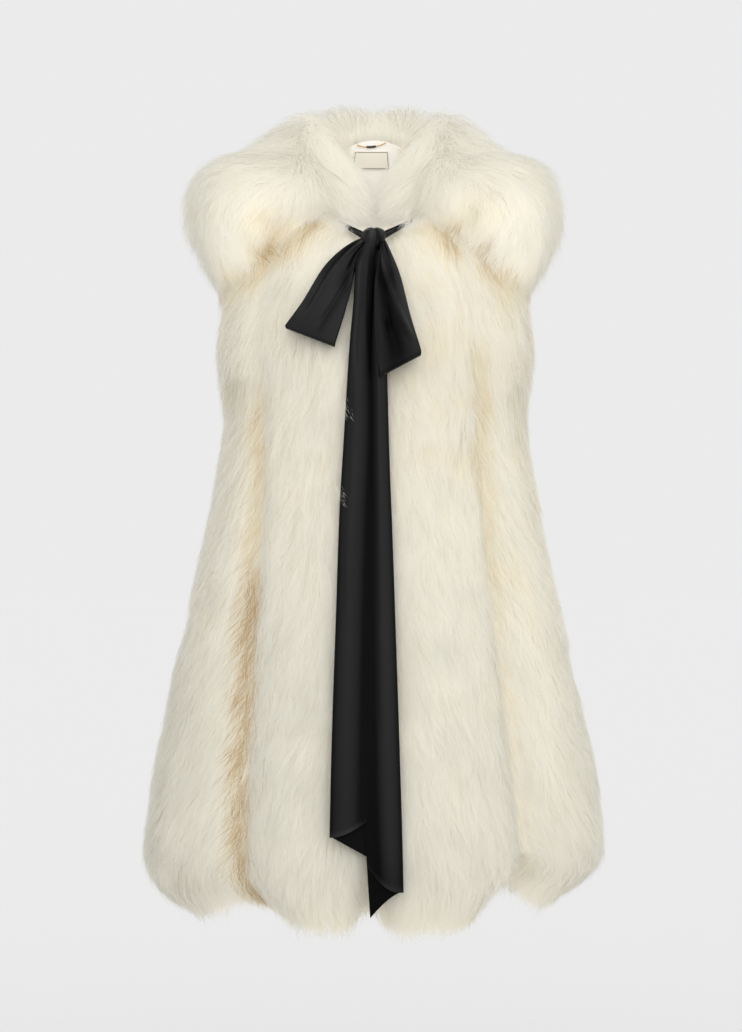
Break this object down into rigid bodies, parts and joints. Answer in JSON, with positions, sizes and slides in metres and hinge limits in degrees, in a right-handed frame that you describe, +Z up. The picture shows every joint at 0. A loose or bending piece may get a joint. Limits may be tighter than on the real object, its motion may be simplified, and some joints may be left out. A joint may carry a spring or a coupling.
{
  "type": "fur cape",
  "caption": "Long A-line cape of ivory long-haired fur with a deep shawl collar, open front and hem, tied at the neck with a long black silk bow.",
  "frame": {"origin": "middle of the wearer's neck, level with the tops of the shoulders, where the cape is held up", "axes": "+Z up, the cape's front faces -Y, +X is the wearer's left"},
  "size_m": [0.6492, 0.4916, 1.1641],
  "materials": {
    "fur": "long soft ivory fur, yellower at the roots",
    "lining": "smooth ivory satin",
    "label": "matte woven cream",
    "gilt_chain": "polished gilt",
    "black_sleeve": "matte black",
    "black_silk": "soft satin sheen"
  },
  "bodies": {
    "root": {"front_r": "fur", "front_l": "fur", "side_r": "fur", "side_l": "fur", "back": "fur", "collar_r": "fur", "collar_l": "fur", "neck_facing": "lining", "label": "label", "hanger_chain_r": "gilt_chain", "hanger_chain_l": "gilt_chain", "hanger_sleeve": "black_sleeve", "tie_strap_r": "black_silk", "tie_strap_l": "black_silk", "bow_knot": "black_silk", "bow_loop_r": "black_silk", "bow_loop_l": "black_silk", "tie_tail_r": "black_silk", "tie_tail_l": "black_silk"}
  },
  "joints": []
}
